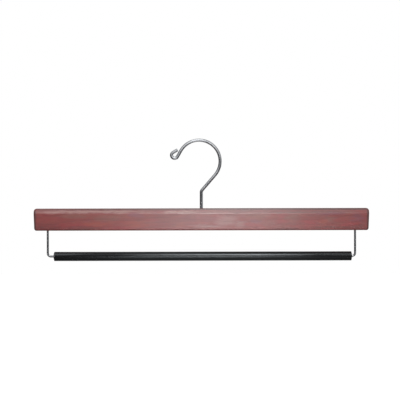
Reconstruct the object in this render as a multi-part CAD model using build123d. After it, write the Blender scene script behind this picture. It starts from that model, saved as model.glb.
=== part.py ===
from build123d import *
from math import asin, atan2, cos, degrees, radians, sin, sqrt, tan
import os

# Trouser hanger: a bevelled wooden crossbar on a wire hook that swivels in it, and under the bar
# a wire bail that carries a round tube, which turns on two end bushes.
# Frame: millimetres, +Z up, X along the bar, the front faces -Y.
# The origin is the highest point inside the hook's loop, where the hanger sits on a closet rod.

# Crossbar
bar_length = 380.0
bar_thickness = 14.0
bar_height = 25.0
bar_end_taper = 1.0
bar_bevel_height = 5.8
bar_bevel_depth = 3.5
bar_upper_corner_radius = 3.4
bar_lower_corner_radius = 2.6
bar_edge_radius = 2.0

# Hook wire, from the shank's foot up to the curl at the tip; slopes are degrees from the level.
# The neck's length is that of its slanted run, from its corner over the shank to the loop.
hook_wire_diameter = 3.6
hook_height = 75.5
hook_end_chamfer = 0.4
loop_inner_diameter = 44.2
loop_offset = 2.5
neck_length = 23.9
neck_bend_radius = 4.5
tip_run_slope = 60.6
tip_run_length = 7.5
curl_radius = 3.6
curl_tail_slope = 30.0
curl_tail_length = 5.9

# Swivel fixing, hidden in a counterbore in the underside of the bar
shank_clearance = 0.08
shank_recess = 1.2
shank_projection = 1.0
washer_diameter = 9.0
washer_thickness = 0.8
washer_bore_clearance = 0.25
washer_side_clearance = 0.7
swivel_play = 0.15
nut_across_flats = 7.0
nut_hex_height = 3.3
nut_corner_chamfer = 0.35
nut_collar_step = 0.25
nut_collar_height = 1.7
nut_collar_wall = 0.5
nut_thread_clearance = 0.05
insert_thickness = 1.3
insert_grip_clearance = 0.02

# Bail wire
bail_wire_diameter = 2.4
bail_leg_inset = 15.7
bail_drop = 29.3
bail_bend_radius = 3.4
bail_socket_depth = 15.0
bail_socket_clearance = 0.05
bail_end_chamfer = 0.3

# Roller tube and its end bushes
tube_diameter = 10.4
tube_wall = 1.2
tube_gap_left = 3.1
tube_gap_right = 0.1
bush_head_thickness = 1.7
bush_dome_height = 1.0
bush_spigot_length = 9.0
bush_spigot_chamfer = 0.5
bush_spigot_clearance = 0.04
bush_running_clearance = 0.06

overrun = 1.0

# Heights, places and radii that follow from the sizes above
bar_top = -hook_height
bar_bottom = bar_top - bar_height
stem_x = loop_offset
hook_wire_radius = hook_wire_diameter / 2
loop_radius = loop_inner_diameter / 2 + hook_wire_radius
shank_hole_radius = hook_wire_radius + shank_clearance
nut_height = nut_hex_height + nut_collar_height
shank_foot = bar_bottom + shank_recess
nut_bottom = shank_foot + shank_projection
nut_top = nut_bottom + nut_height
washer_bottom = nut_top + swivel_play
counterbore_floor = washer_bottom + washer_thickness
counterbore_radius = washer_diameter / 2 + washer_side_clearance
bail_wire_radius = bail_wire_diameter / 2
bail_half_span = bar_length / 2 - bail_leg_inset
bail_left = stem_x - bail_half_span
bail_right = stem_x + bail_half_span
bail_leg_top = bar_bottom + bail_socket_depth
roller_axis_z = bar_bottom - bail_drop
roller_left = bail_left + bail_bend_radius + tube_gap_left
roller_right = bail_right - bail_bend_radius - tube_gap_right
tube_left = roller_left + bush_head_thickness
tube_right = roller_right - bush_head_thickness
tube_radius = tube_diameter / 2
tube_bore_radius = tube_radius - tube_wall

os.makedirs("parts", exist_ok=True)


def save(node, solid):
    solid.label = node
    export_step(solid, f"parts/{node}.step")


def upright_rod(radius, low, high, x=stem_x):
    return Pos(x, 0, low) * extrude(Circle(radius), high - low)


def lengthwise_rod(radius, left, right):
    return Pos(left, 0, roller_axis_z) * Rot(0, 90, 0) * extrude(Circle(radius), right - left)


def step_along(start, distance, angle):
    return start + Vector(distance * cos(radians(angle)), 0, distance * sin(radians(angle)))


def arc_about(centre, radius, first_angle, last_angle):
    angles = (first_angle, (first_angle + last_angle) / 2, last_angle)
    return ThreePointArc(*[step_along(centre, radius, angle) for angle in angles])


def bent_wire(path, radius, end_chamfer):
    section = Plane(origin=path @ 0, z_dir=path % 0) * Circle(radius)
    wire = sweep(section, path=path)
    cut_ends = wire.faces().filter_by(GeomType.PLANE).edges()
    return chamfer(cut_ends, end_chamfer)


# Crossbar: a milled length, bevelled along its top edges, with sanded ends that lean in downwards
def make_crossbar():
    half_top = bar_length / 2
    half_bottom = half_top - bar_end_taper
    front = make_face(
        Polyline(
            (stem_x - half_bottom, bar_bottom),
            (stem_x + half_bottom, bar_bottom),
            (stem_x + half_top, bar_top),
            (stem_x - half_top, bar_top),
            close=True,
        )
    )
    front = fillet(front.vertices().sort_by(Axis.Y)[:2], bar_lower_corner_radius)
    front = fillet(front.vertices().sort_by(Axis.Y)[-2:], bar_upper_corner_radius)
    half_thickness = bar_thickness / 2
    half_ridge = half_thickness - bar_bevel_depth
    crease = bar_top - bar_bevel_height
    section = make_face(
        Polyline(
            (-half_thickness, bar_bottom),
            (half_thickness, bar_bottom),
            (half_thickness, crease),
            (half_ridge, bar_top),
            (-half_ridge, bar_top),
            (-half_thickness, crease),
            close=True,
        )
    )
    slab = extrude(Plane.XZ * front, bar_thickness, both=True)
    slab &= extrude(Plane.YZ * section, bar_length, both=True)
    slab = fillet(slab.edges(), bar_edge_radius)
    slab -= upright_rod(shank_hole_radius, bar_bottom - overrun, bar_top + overrun)
    slab -= upright_rod(counterbore_radius, bar_bottom - overrun, counterbore_floor)
    socket_radius = bail_wire_radius + bail_socket_clearance
    for x in (bail_left, bail_right):
        slab -= upright_rod(socket_radius, bar_bottom - overrun, bail_leg_top, x)
    return slab


# Hook: shank, neck bend, slanted neck running into the loop, straight tip run, outward curl, tail
def make_hook():
    loop_centre = Vector(0, 0, -loop_inner_diameter / 2)
    neck_corner_drop = sqrt(loop_radius**2 + neck_length**2 - loop_offset**2)
    neck_corner = loop_centre + Vector(loop_offset, 0, -neck_corner_drop)
    centre_slope = degrees(atan2(neck_corner_drop, -loop_offset))
    neck_slope = centre_slope - degrees(atan2(loop_radius, neck_length))
    neck_setback = neck_bend_radius * tan(radians(90 - neck_slope) / 2)
    bend_low = neck_corner - Vector(0, 0, neck_setback)
    bend_centre = bend_low + Vector(neck_bend_radius, 0, 0)
    neck_start = step_along(neck_corner, neck_setback, neck_slope)
    loop_start = step_along(loop_centre, loop_radius, neck_slope - 90)
    tip_heading = 180 + tip_run_slope
    tip_start = step_along(loop_centre, loop_radius, tip_heading - 90)
    tip_end = step_along(tip_start, tip_run_length, tip_heading)
    curl_centre = step_along(tip_end, curl_radius, tip_heading - 90)
    tail_start = step_along(curl_centre, curl_radius, curl_tail_slope + 90)
    path = Wire(
        [
            Line((stem_x, 0, shank_foot), bend_low),
            arc_about(bend_centre, neck_bend_radius, 180, neck_slope + 90),
            Line(neck_start, loop_start),
            arc_about(loop_centre, loop_radius, neck_slope - 90, tip_heading - 90),
            Line(tip_start, tip_end),
            arc_about(curl_centre, curl_radius, tip_heading + 90, curl_tail_slope + 90),
            Line(tail_start, step_along(tail_start, curl_tail_length, curl_tail_slope)),
        ]
    )
    return bent_wire(path, hook_wire_radius, hook_end_chamfer)


def make_washer():
    disc = upright_rod(washer_diameter / 2, washer_bottom, counterbore_floor)
    bore = hook_wire_radius + washer_bore_clearance
    return disc - upright_rod(bore, washer_bottom - overrun, counterbore_floor + overrun)


# Lock nut: a hexagon with turned corners, and below it a round collar that holds the insert
def make_lock_nut():
    hex_bottom = nut_top - nut_hex_height
    flat_radius = nut_across_flats / 2
    corner_radius = flat_radius / cos(radians(30))
    prism = extrude(RegularPolygon(flat_radius, 6, major_radius=False), nut_hex_height)
    turned = extrude(Circle(corner_radius), nut_hex_height)
    turned = chamfer(turned.edges().filter_by(GeomType.CIRCLE), nut_corner_chamfer)
    hexagon = Pos(stem_x, 0, hex_bottom) * (prism & turned)
    collar_radius = flat_radius - nut_collar_step
    nut = hexagon + upright_rod(collar_radius, nut_bottom, hex_bottom)
    thread_radius = hook_wire_radius + nut_thread_clearance
    nut -= upright_rod(thread_radius, nut_bottom - overrun, nut_top + overrun)
    seat_radius = collar_radius - nut_collar_wall
    return nut - upright_rod(seat_radius, nut_bottom - overrun, nut_bottom + insert_thickness)


def make_lock_nut_insert():
    outer_radius = nut_across_flats / 2 - nut_collar_step - nut_collar_wall
    ring = upright_rod(outer_radius, nut_bottom, nut_bottom + insert_thickness)
    grip_radius = hook_wire_radius + insert_grip_clearance
    return ring - upright_rod(grip_radius, nut_bottom - overrun, nut_top)


# Bail: one wire, both legs up in their sockets in the bar
def make_bail():
    path = FilletPolyline(
        (bail_left, 0, bail_leg_top),
        (bail_left, 0, roller_axis_z),
        (bail_right, 0, roller_axis_z),
        (bail_right, 0, bail_leg_top),
        radius=bail_bend_radius,
    )
    return bent_wire(Wire(path.edges()), bail_wire_radius, bail_end_chamfer)


def make_tube():
    tube = lengthwise_rod(tube_radius, tube_left, tube_right)
    return tube - lengthwise_rod(tube_bore_radius, tube_left - overrun, tube_right + overrun)


# Right end bush, turned about the wire: a domed head as wide as the tube, and a spigot inside it
def make_right_bush():
    bore_radius = bail_wire_radius + bush_running_clearance
    spigot_radius = tube_bore_radius - bush_spigot_clearance
    spigot_left = tube_right - bush_spigot_length
    rim_x = roller_right - bush_dome_height
    dome_radius = (tube_radius**2 + bush_dome_height**2) / (2 * bush_dome_height)
    dome_centre = Vector(roller_right - dome_radius, 0, 0)
    rim_angle = degrees(asin(tube_radius / dome_radius))
    bore_angle = degrees(asin(bore_radius / dome_radius))
    dome = arc_about(dome_centre, dome_radius, rim_angle, bore_angle)
    side = Polyline(
        dome @ 1,
        (spigot_left, 0, bore_radius),
        (spigot_left, 0, spigot_radius - bush_spigot_chamfer),
        (spigot_left + bush_spigot_chamfer, 0, spigot_radius),
        (tube_right, 0, spigot_radius),
        (tube_right, 0, tube_radius),
        (rim_x, 0, tube_radius),
    )
    profile = make_face(side.edges() + [dome])
    return Pos(0, 0, roller_axis_z) * revolve(profile, Axis.X)


right_bush = make_right_bush()
roller_middle = (roller_left + roller_right) / 2
left_bush = mirror(right_bush, about=Plane.YZ.offset(roller_middle))

save("crossbar", make_crossbar())
save("swivel_hook", make_hook())
save("hook_washer", make_washer())
save("lock_nut", make_lock_nut())
save("lock_nut_insert", make_lock_nut_insert())
save("trouser_bail", make_bail())
save("roller_tube", make_tube())
save("end_bush_right", right_bush)
save("end_bush_left", left_bush)
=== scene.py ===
import math

import bpy
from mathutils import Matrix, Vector


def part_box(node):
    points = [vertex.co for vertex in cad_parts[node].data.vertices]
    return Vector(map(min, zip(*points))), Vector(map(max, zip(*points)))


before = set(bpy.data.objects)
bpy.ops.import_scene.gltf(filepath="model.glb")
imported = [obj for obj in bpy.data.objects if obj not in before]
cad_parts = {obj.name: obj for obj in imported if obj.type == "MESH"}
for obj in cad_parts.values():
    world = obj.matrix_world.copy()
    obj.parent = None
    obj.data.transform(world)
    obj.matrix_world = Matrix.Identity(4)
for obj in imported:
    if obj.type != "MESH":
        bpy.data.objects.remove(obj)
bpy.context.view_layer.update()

# Trouser hanger, in metres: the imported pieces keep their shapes, and get finishes, lights and a camera here.
# +Z is up, +X runs along the bar and the front faces -Y.
mm = 0.001

# Camera: level and square to the front, turned a little about its own axis, as in the photograph
camera_distance = 1.5
camera_x = 0.97 * mm
camera_z = -66.1 * mm
camera_roll = math.radians(0.13)
picture_width = 453.9 * mm
sensor_width = 36.0

# Places on the object that the finishes follow
bar_low, bar_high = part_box("crossbar")
hook_low, hook_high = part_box("swivel_hook")
bail_low, bail_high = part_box("trouser_bail")
tube_low, tube_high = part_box("roller_tube")
bar_middle = (bar_low + bar_high) / 2
tube_middle = (tube_low + tube_high) / 2
loop_z = hook_high.z - 25.7 * mm


class Graph:
    """A node tree, with short ways to add and join its nodes."""

    def __init__(self, tree):
        self.tree = tree
        self.tree.nodes.clear()

    def node(self, kind, inputs=None, **settings):
        made = self.tree.nodes.new(kind)
        for name, value in settings.items():
            setattr(made, name, value)
        for name, value in (inputs or {}).items():
            self.put(made.inputs[name], value)
        return made

    def put(self, socket, value):
        if isinstance(value, bpy.types.NodeSocket):
            self.tree.links.new(value, socket)
        else:
            socket.default_value = value

    def math(self, operation, *values, clamp=False):
        made = self.node("ShaderNodeMath", operation=operation, use_clamp=clamp)
        for socket, value in zip(made.inputs, values):
            self.put(socket, value)
        return made.outputs[0]

    def vector_math(self, operation, *values):
        made = self.node("ShaderNodeVectorMath", operation=operation)
        for socket, value in zip(made.inputs, values):
            self.put(socket, value)
        return made.outputs[0]

    def place(self):
        """The point in the part's own frame, which moves with the piece."""
        return self.node("ShaderNodeTexCoord").outputs["Object"]

    def parts_of(self, vector):
        return self.node("ShaderNodeSeparateXYZ", {"Vector": vector}).outputs

    def joined(self, x, y, z):
        return self.node("ShaderNodeCombineXYZ", {"X": x, "Y": y, "Z": z}).outputs[0]

    def stretched(self, vector, per_metre):
        return self.vector_math("MULTIPLY", vector, per_metre)

    def noise(self, vector, scale=1.0, detail=2.0, roughness=0.5, distortion=0.0, output="Fac"):
        inputs = {
            "Vector": vector,
            "Scale": scale,
            "Detail": detail,
            "Roughness": roughness,
            "Distortion": distortion,
        }
        return self.node("ShaderNodeTexNoise", inputs).outputs[output]

    def remap(self, value, low, high, new_low=0.0, new_high=1.0, smooth=False):
        inputs = {
            "Value": value,
            "From Min": low,
            "From Max": high,
            "To Min": new_low,
            "To Max": new_high,
        }
        kind = "SMOOTHSTEP" if smooth else "LINEAR"
        return self.node("ShaderNodeMapRange", inputs, interpolation_type=kind).outputs[0]

    def blend(self, share, first, second, mode="MIX"):
        made = self.node("ShaderNodeMix", data_type="RGBA", blend_type=mode)
        self.put(made.inputs[0], share)
        self.put(made.inputs[6], first)
        self.put(made.inputs[7], second)
        return made.outputs[2]

    def radius(self, first, second):
        """The distance from an axis, from the two distances across it."""
        squares = self.math("ADD", self.math("POWER", first, 2.0), self.math("POWER", second, 2.0))
        return self.math("POWER", squares, 0.5)

    def swayed(self, place, noise, reach):
        """The point, moved about by a noise's colour as far as the reach."""
        shift = self.vector_math("MULTIPLY", self.vector_math("SUBTRACT", noise, (0.5,) * 3), reach)
        return self.vector_math("ADD", place, shift)

    def spots(self, place, spots):
        """Soft patches on the front: each is given as x, z, and its reach along x and along z, in mm."""
        total = None
        for x, z, reach_x, reach_z in spots:
            share = (1 / (reach_x * mm), 0.0, 1 / (reach_z * mm))
            centre = (-x / reach_x, 0.0, -z / reach_z)
            scaled = self.vector_math("MULTIPLY_ADD", place, share, centre)
            reach = self.node("ShaderNodeVectorMath", {0: scaled}, operation="LENGTH").outputs["Value"]
            spot = self.remap(reach, 0.25, 1.0, 1.0, 0.0, smooth=True)
            total = spot if total is None else self.math("MAXIMUM", total, spot)
        return total

    def bump(self, height, distance, strength=1.0, normal=None):
        inputs = {"Height": height, "Distance": distance, "Strength": strength}
        if normal is not None:
            inputs["Normal"] = normal
        return self.node("ShaderNodeBump", inputs).outputs[0]


def colour(red, green, blue):
    """A colour given in 0 to 255 as it looks on a screen."""

    def linear(value):
        value /= 255
        return value / 12.92 if value <= 0.04045 else ((value + 0.055) / 1.055) ** 2.4

    return (linear(red), linear(green), linear(blue), 1.0)


def new_finish(name):
    material = bpy.data.materials.new(name)
    material.use_nodes = True
    return material, Graph(material.node_tree)


def surface(graph, **inputs):
    """Ends a finish with its surface shader; the inputs' names have _ for their spaces."""
    sockets = {name.replace("_", " "): value for name, value in inputs.items()}
    shader = graph.node("ShaderNodeBsdfPrincipled", sockets)
    output = graph.node("ShaderNodeOutputMaterial")
    graph.tree.links.new(shader.outputs[0], output.inputs["Surface"])
    return shader


def turned(graph, vector):
    """A direction in the part's frame, turned into the world's."""
    node = graph.node(
        "ShaderNodeVectorTransform",
        {"Vector": vector},
        vector_type="VECTOR",
        convert_from="OBJECT",
        convert_to="WORLD",
    )
    return node.outputs[0]


# Red wood under satin lacquer. The patches on its front, some of them the wood's own figure and some painted
# highlight
# and painted shade, as marked: a tone, its share over the wood, and the places, as x, z, and the reach along x
# and along z, in mm
figure_and_painted_light_patches = (
    (
        colour(120, 76, 66),
        0.70,
        (
            (-140.0, -84.0, 28.0, 4.2),
            (-104.0, -86.5, 25.0, 5.0),
            (-24.0, -93.5, 9.0, 4.0),
            (66.0, -84.0, 22.0, 5.0),
            (106.0, -85.0, 14.0, 5.0),
            (146.0, -88.5, 9.0, 5.0),
            (4.0, -79.8, 46.0, 3.0),
        ),
    ),
    (
        colour(146, 108, 106),
        0.70,
        ((30.0, -89.5, 18.0, 8.0), (8.0, -95.5, 26.0, 3.0), (46.0, -93.0, 10.0, 5.0)),
    ),
    (
        colour(112, 54, 72),
        0.70,
        (
            (-72.0, -83.5, 14.0, 4.0),
            (180.0, -87.0, 12.0, 8.0),
            (146.0, -81.0, 26.0, 3.0),
            (64.0, -90.5, 10.0, 4.0),
        ),
    ),
    (
        colour(140, 34, 42),
        0.90,
        (
            (-142.0, -95.5, 42.0, 3.4),
            (-92.0, -97.0, 40.0, 2.6),
            (-54.0, -88.5, 12.0, 3.6),
            (62.0, -95.0, 20.0, 2.6),
            (92.0, -89.5, 8.0, 6.5),
            (126.0, -92.0, 13.0, 6.0),
            (170.0, -94.0, 16.0, 4.0),
        ),
    ),
    # Crimson patches in the middle of the front: the wood's own crimson, made darker as painted shade where
    # the lamp's sheen falls
    (
        colour(112, 38, 46),
        0.80,
        ((-12.0, -87.0, 19.0, 5.5), (11.0, -86.5, 14.0, 4.8)),
    ),
    (
        colour(150, 58, 40),
        0.75,
        (
            (-116.0, -93.5, 24.0, 3.2),
            (-68.0, -93.0, 26.0, 5.0),
            (-22.0, -94.0, 10.0, 4.0),
            (140.0, -90.0, 6.0, 5.0),
        ),
    ),
    (
        colour(84, 26, 30),
        0.65,
        (
            (-172.0, -97.0, 34.0, 6.0),
            (-132.0, -98.0, 40.0, 4.2),
            (158.0, -97.6, 40.0, 1.8),
            (178.0, -97.0, 16.0, 4.0),
            (100.0, -98.6, 24.0, 1.6),
        ),
    ),
    # Painted shade: a broad darker patch over the middle of the front, which tempers the lamp's sheen there
    (
        colour(96, 32, 35),
        0.45,
        ((-34.0, -89.0, 54.0, 14.0),),
    ),
    # Painted shade: dark streaks along the bevel right of the middle, and a short one along the bottom edge at
    # the left, where less light falls
    (
        colour(78, 46, 42),
        0.50,
        ((-135.0, -99.2, 26.0, 1.8), (106.0, -80.2, 92.0, 2.1), (46.0, -79.6, 34.0, 3.0)),
    ),
    # Painted highlight: a pale streak along the bevel from the left end to the middle, standing in for the
    # overhead lamp's sheen there
    (
        colour(172, 136, 130),
        0.80,
        ((-122.0, -79.2, 96.0, 3.0), (-24.0, -79.8, 26.0, 2.4)),
    ),
)


def make_red_wood():
    material, graph = new_finish("red_wood_lacquered")
    place = graph.place()

    # Growth rings about a pith behind and above the bar, drawn out along it and bent by slow noise
    slow = graph.noise(graph.stretched(place, (7.0, 30.0, 30.0)), detail=3.0, output="Color")
    x, y, z = graph.parts_of(graph.swayed(place, slow, (0.0, 10 * mm, 14 * mm)))
    pith_y = graph.math("SUBTRACT", y, bar_high.y + 30 * mm)
    pith_drop = graph.math("MULTIPLY_ADD", x, 0.035, bar_high.z + 6 * mm)
    pith_z = graph.math("SUBTRACT", z, pith_drop)
    ring_spacing = 2.6 * mm
    ring_phase = graph.math("FRACT", graph.math("DIVIDE", graph.radius(pith_y, pith_z), ring_spacing))
    late_wood = graph.math("POWER", ring_phase, 2.2)

    # Fibres and pores: long thin streaks
    fibre = graph.noise(graph.stretched(place, (28.0, 900.0, 1100.0)), detail=4.0, roughness=0.65)
    pore_field = graph.noise(graph.stretched(place, (110.0, 2600.0, 3000.0)), detail=2.0)
    pores = graph.remap(pore_field, 0.60, 0.72, smooth=True)

    # Broad patches: redder, greyer and browner, in long soft clouds with torn edges
    edges = graph.stretched(place, (70.0, 260.0, 260.0))
    torn = graph.noise(edges, detail=4.0, roughness=0.6, output="Color")
    cloudy = graph.swayed(place, torn, (22 * mm, 0.0, 7 * mm))
    red_noise = graph.noise(graph.stretched(cloudy, (16.0, 60.0, 110.0)), detail=2.0)
    elsewhere = graph.vector_math("ADD", cloudy, (0.7, 0.2, 0.4))
    grey_noise = graph.noise(graph.stretched(elsewhere, (20.0, 60.0, 120.0)))
    small = graph.stretched(place, (120.0, 420.0, 420.0))
    mottle = graph.noise(small, detail=3.0, roughness=0.6, output="Color")
    mottle_1, mottle_2, mottle_3 = graph.parts_of(mottle)

    base = graph.blend(graph.remap(mottle_1, 0.35, 0.65), colour(123, 40, 40), colour(133, 43, 44))
    grey_share = graph.remap(grey_noise, 0.48, 0.72, 0.0, 0.45, smooth=True)
    base = graph.blend(grey_share, base, colour(116, 72, 66))
    red_share = graph.remap(red_noise, 0.48, 0.72, 0.0, 0.50, smooth=True)
    base = graph.blend(red_share, base, colour(136, 38, 44))
    # The listed patches, on the front only: the wood's figure, with painted highlight and painted shade among
    # them
    front = graph.remap(graph.parts_of(place)[1], -2 * mm, 2 * mm, 1.0, 0.0)
    for tone, share, spots in figure_and_painted_light_patches:
        reach = graph.math("MULTIPLY", graph.spots(cloudy, spots), front)
        base = graph.blend(graph.math("MULTIPLY", reach, share), base, tone)
    base = graph.blend(graph.remap(mottle_2, 0.52, 0.72, 0.0, 0.35, smooth=True), base, colour(128, 68, 46))
    base = graph.blend(graph.remap(mottle_3, 0.52, 0.72, 0.0, 0.35, smooth=True), base, colour(110, 52, 68))
    base = graph.blend(graph.math("MULTIPLY", late_wood, 0.35), base, colour(84, 30, 29))
    base = graph.blend(graph.remap(fibre, 0.32, 0.70, 0.0, 0.42), base, colour(143, 66, 61))
    base = graph.blend(graph.math("MULTIPLY", pores, 0.5), base, colour(72, 34, 34))

    # Painted shade: the wood is darkened along the upper band of the front and back bevels, less towards the
    # left end, and along the bottom edges and the ends, where the rounded edges turn from the lamps
    x, y, z = graph.parts_of(place)
    depth = graph.math("ABSOLUTE", y)
    reach = graph.math("ABSOLUTE", graph.math("SUBTRACT", x, bar_middle.x))
    half = (bar_high.x - bar_low.x) / 2
    top = graph.math(
        "MULTIPLY",
        graph.remap(z, bar_high.z - 2.7 * mm, bar_high.z - 1.4 * mm, smooth=True),
        graph.remap(depth, 1.6 * mm, 3.0 * mm, smooth=True),
    )
    top = graph.math("MULTIPLY", top, graph.remap(x, bar_low.x, -20 * mm, 0.55, 1.0))
    low = graph.remap(z, bar_low.z + 0.7 * mm, bar_low.z + 1.9 * mm, 1.0, 0.0, smooth=True)
    end = graph.remap(reach, half - 4.2 * mm, half - 1.8 * mm, smooth=True)
    low_or_end = graph.math("MAXIMUM", graph.math("MULTIPLY", low, 0.25), end)
    sides = graph.math("MULTIPLY", low_or_end, graph.remap(depth, 4.0 * mm, 5.6 * mm, smooth=True))
    edge_shade = graph.math("MULTIPLY", graph.math("MAXIMUM", top, sides), 0.72)
    base = graph.blend(edge_shade, base, colour(66, 40, 38))

    height = graph.math("ADD", graph.math("MULTIPLY", fibre, 0.7), graph.math("MULTIPLY", pores, -0.5))
    normal = graph.bump(height, 0.05 * mm, 0.55)
    surface(
        graph,
        Base_Color=base,
        Roughness=graph.remap(fibre, 0.3, 0.7, 0.34, 0.42),
        Specular_IOR_Level=0.8,
        Anisotropic=0.94,
        Anisotropic_Rotation=0.25,
        Tangent=turned(graph, (1.0, 0.0, 0.0)),
        Coat_Weight=0.15,
        Coat_Roughness=0.30,
        Normal=normal,
    )
    return material


def either(graph, share, first, second):
    """The first vector where the share is 0, and the second where it is 1."""
    made = graph.node("ShaderNodeMix", data_type="VECTOR")
    for index, value in ((0, share), (4, first), (5, second)):
        graph.put(made.inputs[index], value)
    return made.outputs[1]


def bail_run(graph, place):
    """The way the bail's wire runs: up the legs, and along the level run."""
    z = graph.parts_of(place)[2]
    leg = graph.math("GREATER_THAN", z, bail_low.z + 3 * mm)
    return turned(graph, either(graph, leg, (1.0, 0.0, 0.0), (0.0, 0.0, 1.0)))


def metal(name, tint, shade, roughness_low, roughness_high, drawn, run=None):
    """Bright wire: a metal whose tone and polish vary a little along fine drawing marks."""
    material, graph = new_finish(name)
    place = graph.place()
    marks = graph.noise(drawn(graph, place), detail=3.0, roughness=0.6)
    cloud = graph.noise(graph.stretched(place, (160.0, 160.0, 160.0)), detail=3.0)
    tone = graph.blend(graph.remap(cloud, 0.35, 0.7), tint, shade)
    tone = graph.blend(graph.remap(marks, 0.45, 0.75, 0.0, 0.15), tone, shade)
    roughness = graph.remap(graph.math("ADD", marks, cloud), 0.7, 1.3, roughness_low, roughness_high)
    grain = {"Anisotropic": 0.4, "Anisotropic_Rotation": 0.25, "Tangent": run(graph, place)} if run else {}
    surface(
        graph,
        Base_Color=tone,
        Metallic=1.0,
        Roughness=roughness,
        Normal=graph.bump(marks, 0.01 * mm, 0.04),
        **grain,
    )
    return material


def hook_marks(graph, place):
    """Drawing marks run up the shank, and round the loop above it."""
    x, y, z = graph.parts_of(place)
    rise = graph.math("SUBTRACT", z, loop_z)
    angle = graph.math("ARCTAN2", rise, x)
    loop = graph.joined(
        graph.math("MULTIPLY", graph.radius(x, rise), 2600.0),
        graph.math("MULTIPLY", y, 2600.0),
        graph.math("MULTIPLY", angle, 4.0),
    )
    shank = graph.stretched(place, (2600.0, 2600.0, 120.0))
    return either(graph, graph.remap(z, loop_z - 34 * mm, loop_z - 32 * mm), shank, loop)


def bail_marks(graph, place):
    """Drawing marks run down the legs, and along the level run."""
    level = graph.stretched(place, (120.0, 2600.0, 2600.0))
    upright = graph.stretched(place, (2600.0, 2600.0, 120.0))
    leg = graph.remap(graph.parts_of(place)[2], bail_low.z + 2 * mm, bail_low.z + 4 * mm)
    return either(graph, leg, level, upright)


def turned_marks(graph, place):
    """Marks of a lathe, in rings about the shank."""
    return graph.stretched(place, (60.0, 60.0, 5000.0))


def make_nylon():
    material, graph = new_finish("natural_nylon")
    place = graph.place()
    cloud = graph.noise(graph.stretched(place, (400.0, 400.0, 400.0)), detail=3.0)
    tone = graph.blend(cloud, colour(214, 211, 196), colour(236, 234, 224))
    grain = graph.noise(graph.stretched(place, (5000.0, 5000.0, 5000.0)))
    surface(
        graph,
        Base_Color=tone,
        Roughness=graph.remap(cloud, 0.3, 0.7, 0.42, 0.55),
        Subsurface_Weight=0.15,
        Subsurface_Radius=(0.001, 0.001, 0.001),
        Subsurface_Scale=1.0,
        Normal=graph.bump(grain, 0.02 * mm, 0.3),
    )
    return material


# Extruded tube: black and glossy, with faint lengthwise lines and hazy patches from handling
def make_black_gloss():
    material, graph = new_finish("black_gloss_tube")
    place = graph.place()
    x, y, z = graph.parts_of(place)
    angle = graph.math("ARCTAN2", graph.math("SUBTRACT", z, tube_middle.z), y)
    round_about = graph.joined(graph.math("MULTIPLY", x, 6.0), graph.math("MULTIPLY", angle, 14.0), 0.0)
    lines = graph.noise(round_about, detail=4.0, roughness=0.7)
    haze = graph.noise(graph.stretched(place, (22.0, 160.0, 160.0)), detail=4.0, roughness=0.6)
    tone = graph.blend(graph.remap(haze, 0.4, 0.75), colour(10, 10, 11), colour(17, 18, 19))
    tone = graph.blend(graph.remap(lines, 0.5, 0.8, 0.0, 0.4), tone, colour(24, 25, 27))
    surface(
        graph,
        Base_Color=tone,
        Roughness=graph.remap(haze, 0.35, 0.7, 0.15, 0.21),
        Specular_IOR_Level=0.42,
        Specular_Tint=(0.90, 0.96, 1.0, 1.0),
        Anisotropic=0.85,
        Anisotropic_Rotation=0.25,
        Tangent=turned(graph, (1.0, 0.0, 0.0)),
        Normal=graph.bump(lines, 0.03 * mm, 0.5),
    )
    return material


def make_black_bush():
    material, graph = new_finish("black_moulded_bush")
    place = graph.place()
    grain = graph.noise(graph.stretched(place, (1800.0, 1800.0, 1800.0)), detail=2.0)
    cloud = graph.noise(graph.stretched(place, (260.0, 260.0, 260.0)), detail=3.0)
    surface(
        graph,
        Base_Color=graph.blend(cloud, colour(18, 18, 19), colour(30, 31, 32)),
        Roughness=graph.remap(cloud, 0.3, 0.7, 0.34, 0.46),
        Normal=graph.bump(grain, 0.02 * mm, 0.4),
    )
    return material


def finish_nodes():
    plating = metal("bright_plating", colour(214, 216, 220), colour(186, 188, 193), 0.13, 0.20, hook_marks)
    drawn_wire = metal(
        "bright_drawn_wire", colour(160, 161, 164), colour(130, 132, 136), 0.20, 0.30, bail_marks, bail_run
    )
    zinc = metal("zinc_plating", colour(204, 204, 200), colour(170, 172, 170), 0.24, 0.38, turned_marks)
    bush = make_black_bush()
    finishes = {
        "crossbar": make_red_wood(),
        "swivel_hook": plating,
        "hook_washer": zinc,
        "lock_nut": zinc,
        "lock_nut_insert": make_nylon(),
        "trouser_bail": drawn_wire,
        "roller_tube": make_black_gloss(),
        "end_bush_left": bush,
        "end_bush_right": bush,
    }
    for node, material in finishes.items():
        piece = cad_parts[node]
        piece.data.materials.clear()
        piece.data.materials.append(material)


# Lights: named by where they stand, each turned towards the middle of the hanger
aim = Vector((camera_x, 0.0, camera_z - 25 * mm))
lamp_distance = 1.7


def stand(azimuth, elevation, distance):
    """The point that far from the hanger; azimuth 0 is the camera's side and 90 the right-hand side."""
    turn = math.radians(azimuth)
    lift = math.radians(elevation)
    level = math.cos(lift)
    return aim + distance * Vector((math.sin(turn) * level, -math.cos(turn) * level, math.sin(lift)))


def softbox(name, azimuth, elevation, width, height, radiance, glossy=True):
    light = bpy.data.lights.new(name, "AREA")
    light.shape = "RECTANGLE"
    light.size = width
    light.size_y = height
    light.energy = radiance * math.pi * width * height
    lamp = bpy.data.objects.new(name, light)
    bpy.context.scene.collection.objects.link(lamp)
    lamp.location = stand(azimuth, elevation, lamp_distance)
    lamp.rotation_euler = (aim - lamp.location).to_track_quat("-Z", "Y").to_euler()
    lamp.visible_camera = False
    lamp.visible_glossy = glossy
    return lamp


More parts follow.
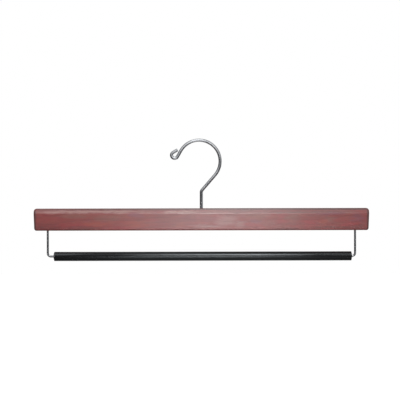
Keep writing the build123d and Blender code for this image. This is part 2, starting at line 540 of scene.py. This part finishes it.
def plain_sheet(name, centre, across, up):
    """A flat rectangle that spans the two vectors, half to each side of its centre."""
    mesh = bpy.data.meshes.new(name)
    corners = [centre + sx * across / 2 + sy * up / 2 for sx, sy in ((-1, -1), (1, -1), (1, 1), (-1, 1))]
    mesh.from_pydata([tuple(corner) for corner in corners], [], [(0, 1, 2, 3)])
    sheet = bpy.data.objects.new(name, mesh)
    bpy.context.scene.collection.objects.link(sheet)
    return sheet


def seen_in_gloss_only(screen):
    screen.visible_camera = False
    screen.visible_diffuse = False
    screen.visible_shadow = False
    screen.visible_transmission = False


def finish_screen(screen, name, radiance_of, blocks_light=False):
    """Gives a screen its glow, from a function of the graph and the place on it."""
    material, graph = new_finish(name)
    glow = graph.node("ShaderNodeEmission", {"Strength": radiance_of(graph, graph.place())})
    output = graph.node("ShaderNodeOutputMaterial")
    graph.tree.links.new(glow.outputs[0], output.inputs["Surface"])
    material.cycles.emission_sampling = "NONE"
    screen.data.materials.append(material)
    seen_in_gloss_only(screen)
    screen.visible_shadow = blocks_light


def make_room():
    """The dim room round the camera, which the gloss and the metal show, open behind the hanger."""
    radius = 2.4
    azimuths = range(-170, 171, 10)
    elevations = range(-8, 76, 7)
    corners = [tuple(stand(azimuth, elevation, radius)) for elevation in elevations for azimuth in azimuths]
    width = len(azimuths)
    firsts = [row * width + column for row in range(len(elevations) - 1) for column in range(width - 1)]
    faces = [(first, first + 1, first + width + 1, first + width) for first in firsts]
    mesh = bpy.data.meshes.new("room")
    mesh.from_pydata(corners, [], faces)
    room = bpy.data.objects.new("room", mesh)
    bpy.context.scene.collection.objects.link(room)

    def radiance(graph, place):
        x, y, z = graph.parts_of(graph.vector_math("SUBTRACT", place, tuple(aim)))
        azimuth = graph.math("ARCTAN2", x, graph.math("MULTIPLY", y, -1.0))
        left = graph.remap(azimuth, math.radians(-150), math.radians(-80), 0.16, 0.05, smooth=True)
        right = graph.remap(azimuth, math.radians(25), math.radians(75), 0.0, 0.38, smooth=True)
        back = graph.remap(azimuth, math.radians(95), math.radians(140), 0.0, -0.25, smooth=True)
        side = graph.math("ADD", left, graph.math("ADD", right, back))
        turn = graph.math("ABSOLUTE", azimuth)
        beside = graph.math(
            "MULTIPLY",
            graph.math(
                "MAXIMUM",
                graph.remap(turn, math.radians(8), math.radians(22), smooth=True),
                graph.remap(z, 0.1, 0.3),
            ),
            graph.remap(turn, math.radians(38), math.radians(70), 1.0, 0.0, smooth=True),
        )
        off_level = graph.remap(graph.math("ABSOLUTE", z), 0.18, 0.70, 0.0, 0.80, smooth=True)
        panels = graph.math("MULTIPLY", off_level, beside)
        above = graph.remap(z, 0.7, 1.9, 0.05, 0.40, smooth=True)
        return graph.math("MAXIMUM", graph.math("ADD", side, panels), above)

    finish_screen(room, "room", radiance)


def make_ceiling():
    """The dim ceiling, which reaches back over the hanger."""
    centre = aim + Vector((0.0, 0.6, 2.3))
    ceiling = plain_sheet("ceiling", centre, Vector((6.0, 0.0, 0.0)), Vector((0.0, 4.5, 0.0)))
    finish_screen(ceiling, "ceiling", lambda graph, place: 0.32)


def make_low_screen():
    """The table under the hanger as its gloss shows it: lit below the middle, dim to both sides."""
    centre = Vector((camera_x + 30 * mm, 2.0, bail_low.z - 0.30))
    screen = plain_sheet("low_screen", centre, Vector((5.0, 0.0, 0.0)), Vector((0.0, 8.4, 0.0)))

    def radiance(graph, place):
        x, y, z = graph.parts_of(place)
        aside = graph.math("ABSOLUTE", graph.math("SUBTRACT", x, centre.x))
        middle = graph.remap(aside, 30 * mm, 300 * mm, 0.95, 0.16, smooth=True)
        return graph.math("MULTIPLY", middle, graph.remap(y, -0.45, -0.10, 1.0, 0.35, smooth=True))

    finish_screen(screen, "low_screen", radiance)


def make_front_sheets():
    """Sheets in front of the hook, which its wire shows: the high one also keeps the key off the wire."""
    centre = Vector((0.0, -210 * mm, 0.0))
    across = Vector((340 * mm, 0.0, 0.0))

    def high_glow(graph, place):
        x, y, z = graph.parts_of(place)
        return graph.remap(graph.math("ABSOLUTE", x), 0.0, 180 * mm, 1.55, 0.40, smooth=True)

    def near_glow(graph, place):
        x, y, z = graph.parts_of(place)
        high = graph.math("MULTIPLY", high_glow(graph, place), graph.remap(z, -4 * mm, 24 * mm, smooth=True))
        spot = graph.math(
            "MULTIPLY",
            graph.remap(graph.math("ABSOLUTE", x), 0.0, 24 * mm, 2.30, 0.28, smooth=True),
            graph.remap(z, -30 * mm, -6 * mm, smooth=True),
        )
        low = graph.remap(z, -102 * mm, -78 * mm, 0.90, 0.08, smooth=True)
        return graph.math("MAXIMUM", graph.math("MAXIMUM", high, spot), low)

    lowest, meeting, highest = -118 * mm, 86 * mm, 396 * mm
    for name, low, high, glow, blocks_light in (
        ("scrim", meeting, highest, high_glow, True),
        ("near_sheet", lowest, meeting, near_glow, False),
    ):
        middle = centre + Vector((0.0, 0.0, (low + high) / 2))
        sheet = plain_sheet(name, middle, across, Vector((0.0, 0.0, high - low)))
        finish_screen(sheet, name, glow, blocks_light)


def make_tube_strip():
    """A strip low in front, bright in the middle: the lower of the two lines that the tube shows."""
    centre = tube_middle + Vector((0.0, -850 * mm, -185 * mm))
    strip = plain_sheet("tube_strip", centre, Vector((460 * mm, 0.0, 0.0)), Vector((0.0, 0.0, 100 * mm)))

    def radiance(graph, place):
        x, y, z = graph.parts_of(place)
        return graph.remap(graph.math("ABSOLUTE", x), 15 * mm, 225 * mm, 15.0, 0.3, smooth=True)

    finish_screen(strip, "tube_strip", radiance)


def background_rays(graph):
    """1 for the camera's, glossy and transmission rays, which see the background white."""
    path = graph.node("ShaderNodeLightPath").outputs
    seen = graph.math("MAXIMUM", path["Is Camera Ray"], path["Is Glossy Ray"])
    return graph.math("MAXIMUM", seen, path["Is Transmission Ray"])


def make_floor():
    drop = 0.33
    centre = Vector((0.0, 1.0, bail_low.z - drop))
    floor = plain_sheet("floor", centre, Vector((9.0, 0.0, 0.0)), Vector((0.0, 9.0, 0.0)))
    material, graph = new_finish("pale_floor")
    seen = background_rays(graph)
    matte = graph.node("ShaderNodeBsdfDiffuse", {"Color": (0.8, 0.8, 0.8, 1.0)})
    glow = graph.node("ShaderNodeEmission", {"Strength": graph.math("MULTIPLY", seen, 0.75)})
    both = graph.node("ShaderNodeAddShader")
    graph.tree.links.new(matte.outputs[0], both.inputs[0])
    graph.tree.links.new(glow.outputs[0], both.inputs[1])
    output = graph.node("ShaderNodeOutputMaterial")
    graph.tree.links.new(both.outputs[0], output.inputs["Surface"])
    floor.data.materials.append(material)


def make_world(ambient):
    world = bpy.data.worlds.new("studio")
    bpy.context.scene.world = world
    world.use_nodes = True
    graph = Graph(world.node_tree)
    seen = background_rays(graph)
    fill = graph.node("ShaderNodeBackground", {"Color": (1.0, 1.0, 1.0, 1.0), "Strength": ambient})
    white = graph.node("ShaderNodeBackground", {"Color": (1.0, 1.0, 1.0, 1.0), "Strength": 1.0})
    mix = graph.node("ShaderNodeMixShader", {"Fac": seen})
    graph.tree.links.new(fill.outputs[0], mix.inputs[1])
    graph.tree.links.new(white.outputs[0], mix.inputs[2])
    output = graph.node("ShaderNodeOutputWorld")
    graph.tree.links.new(mix.outputs[0], output.inputs["Surface"])


def make_lights():
    softbox("key", azimuth=2.8, elevation=35, width=0.30, height=0.28, radiance=56.0)
    softbox("overhead", azimuth=-10, elevation=61, width=0.9, height=0.6, radiance=2.6)
    softbox("back_fill", azimuth=180, elevation=25, width=0.8, height=0.8, radiance=7.0, glossy=False)
    make_room()
    make_ceiling()
    make_low_screen()
    make_front_sheets()
    make_tube_strip()
    make_world(0.35)


def make_camera():
    data = bpy.data.cameras.new("camera")
    data.sensor_width = sensor_width
    data.lens = sensor_width * camera_distance / picture_width
    camera = bpy.data.objects.new("camera", data)
    bpy.context.scene.collection.objects.link(camera)
    camera.location = (camera_x, -camera_distance, camera_z)
    camera.rotation_euler = (math.radians(90), camera_roll, 0.0)
    bpy.context.scene.camera = camera


make_camera()
finish_nodes()
make_floor()
make_lights()
bpy.context.scene.view_settings.view_transform = "Standard"
